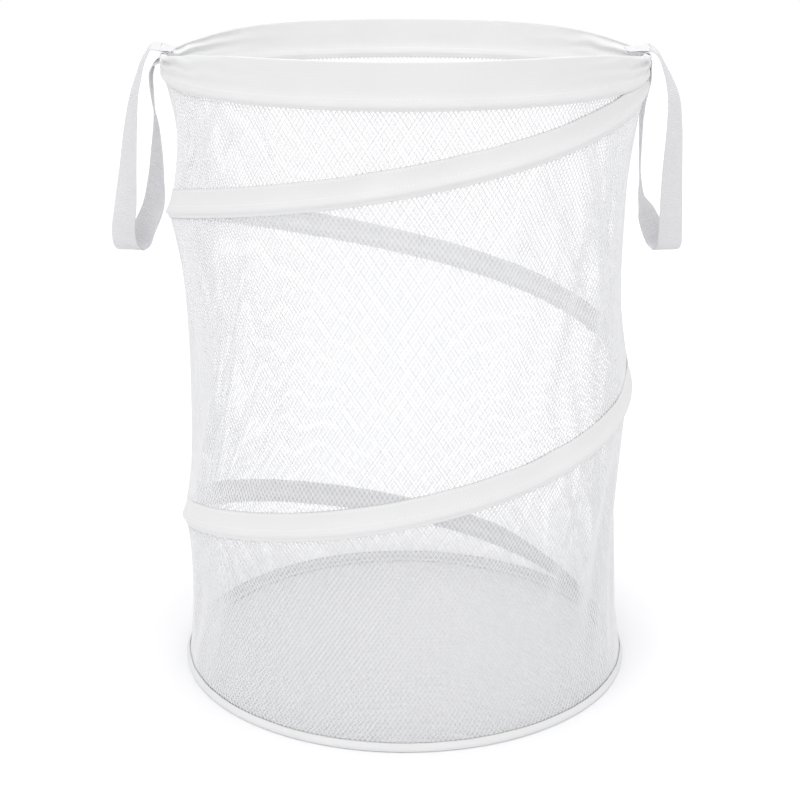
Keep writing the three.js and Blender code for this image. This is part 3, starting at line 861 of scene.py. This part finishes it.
LOOP_DROP = 199 * MM
LOOP_REACH = 41 * MM
LOOP_SPREAD = 12 * MM
LOOP_SET_IN = 0.7 * MM
LOOP_END_DROP = 12.5 * MM
LOOP_TILT = 0.2
STACK_TILT = 0.12
TILT_FADE = 45 * MM
HINGE = {j["child"]: Vector(j["pos_m"]) for j in frame["joints"] if j["type"] == "hinge"}

# Routes of the loops, as shares: outwards, forwards, downwards, and twist of a quarter turn.
LEFT_LOOP_SHARES = [
    (0.195, 0, 0, 0), (0.39, 0.17, 0.06, 0.11), (0.51, 0.5, 0.14, 0.2),
    (0.61, 0.75, 0.22, 0.28), (0.717, 0.92, 0.37, 0.4), (0.822, 1, 0.58, 0.54),
    (0.915, 1, 0.76, 0.73), (1, 0.92, 0.9, 0.83), (0.963, 0.75, 0.97, 0.88),
    (0.854, 0, 1, 0.9), (0.73, -0.75, 0.98, 0.88), (0.61, -0.92, 0.92, 0.83),
    (0.34, -1, 0.79, 0.72), (0.244, -0.92, 0.65, 0.51), (0.2, -0.83, 0.51, 0.37),
    (0.183, -0.67, 0.37, 0.2), (0.224, -0.5, 0.27, 0.06), (0.237, -0.17, 0.14, 0),
    (0.146, 0, 0.08, 0),
]
RIGHT_LOOP_SHARES = [
    (0.17, 0, 0.03, 0.03), (0.34, 0.25, 0.095, 0.13), (0.554, 0.67, 0.226, 0.37),
    (0.6, 0.92, 0.357, 0.48), (0.59, 1, 0.62, 0.67), (0.605, 0.92, 0.894, 0.84),
    (0.6, 0.75, 0.97, 0.89), (0.537, 0, 1, 0.9), (0.44, -0.75, 0.975, 0.89),
    (0.29, -0.92, 0.92, 0.8), (0.088, -0.92, 0.824, 0.56), (-0.037, -0.83, 0.76, 0.24),
    (-0.112, -0.58, 0.62, 0.09), (-0.137, -0.33, 0.43, 0.03), (-0.139, -0.17, 0.327, 0),
    (-0.11, -0.08, 0.27, 0), (0, 0, 0.15, 0), (0, 0, 0.1, 0),
]


def webbing_loop(name, shares, outwards, lower_set_in, body, node):
    """One carrying loop, on the route of its CAD solid. It leans near its hinge, as the loops
    hang a little askew."""
    hinge = HINGE[body]
    rows = [(o * LOOP_REACH, f * LOOP_SPREAD, d * LOOP_DROP, t) for o, f, d, t in shares]
    rows = [(-LOOP_SET_IN, 0, 0, 0), *rows, (-lower_set_in, 0, LOOP_END_DROP, 0)]
    points = [hinge + Vector((outwards * o, -f, -d)) for o, f, d, _ in rows]
    turns = [Vector((t, 0, 0)) for *_, t in rows]

    def across_at(twist, place):
        angle = twist * math.pi / 2
        tilt = LOOP_TILT * max(0.0, 1 - (hinge.z - place.z) / TILT_FADE)
        return Vector((outwards * math.sin(angle), math.cos(angle), tilt))

    samples = evenly(points, turns, RIB_SPACING / RIB_STEPS)
    piece = webbing_strip(name, samples, across_at)
    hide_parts(node)
    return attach(piece, body)


# Webbing sewn over a corner of the band. Places are outwards from the wire of the mouth, and
# up from the middle of the lowest layer on top of the band.
LEG_LENGTH = 9 * MM
OUTER_LEG_LENGTH = 14.5 * MM
PRESSED_THICKNESS = WEBBING_THICKNESS - 2 * RIB_DEPTH
FLAP_REACH = {"left": 9 * MM, "right": 19 * MM}


def corner_webbing(side, outwards, lower_set_in, node):
    """One strip, the saddle, straddles the band. The ends of the loop, the stack, lie on top
    of it and are folded over once, so that they reach inwards."""
    radius, _ = mouth_wire(0)
    level = band_top(0) + SEWN_GAP + WEBBING_THICKNESS / 2
    flap, step = FLAP_REACH[side], PRESSED_THICKNESS
    hinge = HINGE[f"loop_{side}"]
    reach, rise = abs(hinge.x) - radius, hinge.z - level
    end, leg = reach - LOOP_SET_IN, reach - lower_set_in - PRESSED_THICKNESS
    foot = step / 2 - LEG_LENGTH
    bend = leg * 0.7
    saddle = [
        (-leg, foot), (-leg, foot / 2), (-leg, -leg), (-bend, bend - leg), (0, 0),
        (bend, bend - leg), (leg, -leg), (leg, -OUTER_LEG_LENGTH / 2), (leg, -OUTER_LEG_LENGTH),
    ]
    stack = [
        (end, rise), (end / 2, rise - step / 2), (-end, 2.6 * step), (2 * step - flap, 2.1 * step),
        (0.6 * step - flap, 2.05 * step), (-flap, 1.6 * step), (0.6 * step - flap, 1.15 * step),
        (2 * step - flap, 1.1 * step), (-flap / 2, 1.2 * step), (0, 1.5 * step), (end, 2.2 * step),
    ]
    tilts = [LOOP_TILT, LOOP_TILT] + [STACK_TILT] * 8 + [0]

    def across_at(lean, place):
        return Vector((0, 1, lean))

    for name, outline, leans in (("saddle", saddle, [0] * 9), ("stack", stack, tilts)):
        points = [Vector((outwards * (radius + x), 0, level + z)) for x, z in outline]
        turns = [Vector((lean, 0, 0)) for lean in leans]
        samples = evenly(points, turns, RIB_SPACING / RIB_STEPS)
        piece = webbing_strip(f"corner_{name}_{side}", samples, across_at)
        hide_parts(node)
        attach(piece, "mouth")


# Stitches: each is a short bead of thread, half sunk in the cloth.
STITCH_LENGTH = 2.6 * MM
STITCH_GAP = 1.0 * MM
THREAD_RADIUS = 0.28 * MM


def stitches(name, lines, body, flattens=False):
    """Rows of stitches along lines, each a list of points on the cloth's face."""
    bm = bmesh.new()
    for line in lines:
        left = 0.0
        for before, after in zip(line, line[1:]):
            length = (after - before).length
            at = left
            while at < length:
                turn = (after - before).to_track_quat("X", "Z").to_matrix().to_4x4()
                size = Matrix.Diagonal((STITCH_LENGTH / 2, THREAD_RADIUS, THREAD_RADIUS, 1))
                spot = Matrix.Translation(before.lerp(after, at / length))
                bmesh.ops.create_icosphere(bm, subdivisions=1, radius=1, matrix=spot @ turn @ size)
                at += STITCH_LENGTH + STITCH_GAP
            left = at - length
    piece = finished(name, bm, THREAD)
    return folds_flat(piece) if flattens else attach(piece, body)


SEW_HEIGHT = 5.2 * MM
HEM_INSET = 2.5 * MM


def band_stitches():
    """The row above the mouth's wire, on both faces of the band."""
    lines = []
    for side in (1, -1):
        line = []
        for travel in steps(0, FULL_TURN, BAND_COLUMNS):
            radius, z = mouth_wire(travel)
            face = channel_half(SEW_HEIGHT, side) + CLOTH_THICKNESS / 2
            middle = radius + band_shift(travel, SEW_HEIGHT, band_height(travel))
            line.append(placed(middle + side * face, travel, z + SEW_HEIGHT))
        lines.append(line)
    return stitches("mouth_band_stitches", lines, "mouth")


def channel_stitches():
    """The row above the spiral wire and the one along the hem, on both faces, where the
    channel is high enough for both."""
    lines = []
    for side in (1, -1):
        sewn, hem = [], []
        for travel in channel_travels():
            _, z = spiral_wire(travel)
            reach = channel_reach(travel)
            if reach < SEW_HEIGHT + 2 * HEM_INSET:
                continue
            wires = wires_at(travel)
            for line, height in ((sewn, SEW_HEIGHT), (hem, reach - HEM_INSET)):
                face = channel_half(height, side) + CLOTH_THICKNESS / 2
                radius = channel_radius(travel, height, side, wires)
                line.append(placed(radius + side * face, travel, z + height))
        lines += [sewn, hem]
    return stitches("channel_stitches", lines, "base", flattens=True)


# Stage, camera and light.

def stage():
    """A white floor with a painted glow to the camera that grows away from the hamper, so that it
    meets the white background without an edge. The floor under the hamper gets no glow and keeps
    its shade."""
    floor_bm = bmesh.new()
    bmesh.ops.create_grid(floor_bm, x_segments=1, y_segments=1, size=6)
    material = bpy.data.materials.new("white_floor")
    material.use_nodes = True
    tree = material.node_tree
    tree.nodes.clear()
    output = add_node(tree, "ShaderNodeOutputMaterial")
    paint = add_node(tree, "ShaderNodeBsdfDiffuse", {"Color": linear("F9F9FA")})
    place = {0: coordinates(tree, "Object")}
    away = add_node(tree, "ShaderNodeVectorMath", {"operation": "LENGTH"}, place).outputs["Value"]
    # Painted light: the floor glows to the camera, not at all at the hamper's ring and fully at
    # twice its radius.
    near_far = {"From Min": RING_RADIUS, "From Max": 2 * RING_RADIUS, "To Max": 0.16}
    strength = add_node(tree, "ShaderNodeMapRange", near_far, {"Value": away}).outputs["Result"]
    glow = add_node(tree, "ShaderNodeEmission", {"Color": linear("FFFFFF")}, {"Strength": strength})
    both = add_node(tree, "ShaderNodeAddShader", None, {0: paint.outputs[0], 1: glow.outputs[0]})
    ways = {0: seen_directly(tree), 1: paint.outputs[0], 2: both.outputs[0]}
    mix = add_node(tree, "ShaderNodeMixShader", None, ways)
    tree.links.new(mix.outputs[0], output.inputs["Surface"])
    floor = finished("floor", floor_bm, material, smooth=False)
    floor.data.transform(Matrix.Translation((0, 0, -0.2 * MM)))


def seen_directly(tree):
    """1 for what the camera sees directly, in a reflection or through a clear material."""
    path = add_node(tree, "ShaderNodeLightPath")
    rays = path.outputs["Is Camera Ray"]
    for kind in ("Is Glossy Ray", "Is Transmission Ray"):
        ends = {0: rays, 1: path.outputs[kind]}
        rays = add_node(tree, "ShaderNodeMath", {"operation": "MAXIMUM"}, ends).outputs[0]
    return rays


def world_light():
    """Even light from all round, seen as pure white."""
    world = bpy.data.worlds.new("white_studio")
    bpy.context.scene.world = world
    world.use_nodes = True
    tree = world.node_tree
    tree.nodes.clear()
    output = add_node(tree, "ShaderNodeOutputWorld")
    soft, white = (
        add_node(tree, "ShaderNodeBackground", {"Color": linear("FFFFFF"), "Strength": strength})
        for strength in (0.96, 1.0)
    )
    ways = {0: seen_directly(tree), 1: soft.outputs[0], 2: white.outputs[0]}
    mix = add_node(tree, "ShaderNodeMixShader", None, ways)
    tree.links.new(mix.outputs[0], output.inputs["Surface"])


def lamps():
    """A broad, weak sun from the front left, and a soft panel above the mouth."""
    light = bpy.data.lights.new("soft_key", "SUN")
    light.energy = 0.27
    light.angle = math.radians(45)
    key = bpy.data.objects.new("soft_key", light)
    key.rotation_euler = Vector((0.35, 0.9, -1.0)).to_track_quat("-Z", "Y").to_euler()
    bpy.context.scene.collection.objects.link(key)
    panel = bpy.data.lights.new("soft_top", "AREA")
    panel.energy = 4.2
    panel.size = 0.7
    top = bpy.data.objects.new("soft_top", panel)
    top.location = (0, -0.25, 1.6)
    top.rotation_euler = Vector((0, 0.4, -1.2)).to_track_quat("-Z", "Y").to_euler()
    bpy.context.scene.collection.objects.link(top)


def camera():
    """The photograph's view: from a little above the mouth, looking down 15 degrees."""
    data = bpy.data.cameras.new("camera")
    data.sensor_width = 36
    data.lens = 73.4
    data.shift_y = -0.10
    view = bpy.data.objects.new("camera", data)
    view.location = (-0.005, -1.583, 0.777)
    view.rotation_euler = (math.radians(90 - 14.97), 0, 0)
    bpy.context.scene.collection.objects.link(view)
    bpy.context.scene.camera = view


def dress_hidden_fittings():
    """Better finishes for the wires, ferrules and caps that stay as the CAD has them."""
    finishes = {
        "top_hoop_wire": SPRING_STEEL,
        "bottom_hoop_wire": SPRING_STEEL,
        "top_hoop_ferrule": ZINC_STEEL,
        "bottom_hoop_ferrule": ZINC_STEEL,
        "spiral_end_cap_top": VINYL,
        "spiral_end_cap_bottom": VINYL,
    }
    for name, material in finishes.items():
        node = frame["nodes"][name]
        node.data.materials.clear()
        node.data.materials.append(material)


camera()
stage()
world_light()
lamps()
dress_hidden_fittings()
mouth_band()
spiral_channel("spiral_channel_outer", 1)
spiral_channel("spiral_channel_inner", -1)
spiral_spring()
floor_binding()
net_floor()
floor_hem()
for sector in range(WALL_SECTORS):
    net_wall(sector)
wall_seam()
webbing_loop("loop_left", LEFT_LOOP_SHARES, -1, LOOP_SET_IN, "loop_left", "handle_strap_left")
webbing_loop("loop_right", RIGHT_LOOP_SHARES, 1, 0, "loop_right", "handle_strap_right")
corner_webbing("left", -1, LOOP_SET_IN, "handle_anchor_left")
corner_webbing("right", 1, 0, "handle_anchor_right")
band_stitches()
channel_stitches()

bpy.context.scene.view_settings.view_transform = "Standard"
